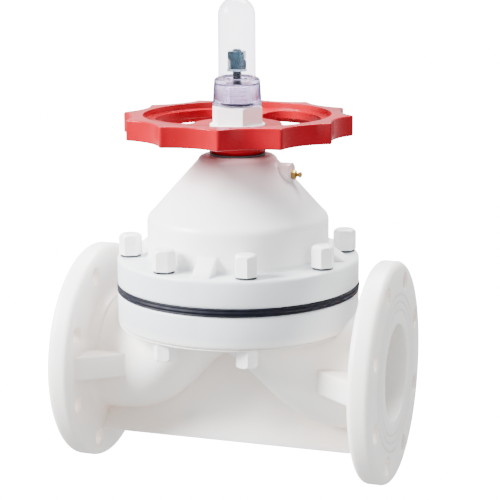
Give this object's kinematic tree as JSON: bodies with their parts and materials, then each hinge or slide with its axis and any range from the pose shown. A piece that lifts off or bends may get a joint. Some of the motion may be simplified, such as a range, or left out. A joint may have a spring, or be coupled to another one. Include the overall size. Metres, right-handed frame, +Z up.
{
  "type": "diaphragm valve",
  "caption": "Flanged weir-type plastic diaphragm valve with bolted bonnet, lobed handwheel and a clear travel indicator over its rising stem.",
  "frame": {"origin": "centre of the inlet flange's face, on the pipe's axis", "axes": "+X along the pipe from inlet to outlet, +Z up the stem to the handwheel, +Y across"},
  "size_m": [0.34, 0.2536, 0.497],
  "materials": {
    "body_plastic": "satin",
    "bonnet_plastic": "satin",
    "cap_plastic": "gloss",
    "red_plastic": "gloss",
    "clear_plastic": "polished",
    "diaphragm_rubber": "matt",
    "seal_rubber": "matt",
    "zinc_steel": "zinc plated",
    "stem_steel": "turned",
    "sleeve_steel": "turned",
    "brass": "turned",
    "bearing_plastic": "matt",
    "compressor_iron": "painted"
  },
  "bodies": {
    "valve": {"body": "body_plastic", "bonnet": "bonnet_plastic", "diaphragm": "diaphragm_rubber", "through_bolts": "zinc_steel", "short_studs": "zinc_steel", "stud_inserts": "brass", "top_washers": "zinc_steel", "bottom_washers": "zinc_steel", "top_nuts": "zinc_steel", "top_caps": "cap_plastic", "bottom_caps": "cap_plastic", "foot_inserts": "brass", "grease_nipple": "brass", "neck_ring": "seal_rubber", "lower_thrust_ring": "bearing_plastic", "upper_thrust_washer": "bearing_plastic"},
    "handwheel": {"handwheel": "red_plastic", "sleeve": "sleeve_steel", "hub_nut": "cap_plastic", "gauge_cover": "clear_plastic", "cover_ring": "seal_rubber"},
    "stem": {"stem": "stem_steel", "stopper_stud": "zinc_steel", "stopper_washer": "zinc_steel", "stopper_nuts": "zinc_steel", "compressor": "compressor_iron", "compressor_pin": "stem_steel", "diaphragm_stud": "stem_steel"}
  },
  "joints": [
    {"name": "wheel_turn", "type": "hinge", "parent": "valve", "child": "handwheel", "pos_m": [0.17, 0, 0.25], "axis": [0, 0, 1], "range_deg": [-964.8, 2275.2]},
    {"name": "stem_lift", "type": "slide", "parent": "valve", "child": "stem", "axis": [0, 0, 1], "range_m": [-0.0134, 0.0316], "deforming": ["diaphragm"]}
  ],
  "couplings": [
    {"joint": "stem_lift", "follows": "wheel_turn", "m_per_rad": 0.00079577}
  ]
}
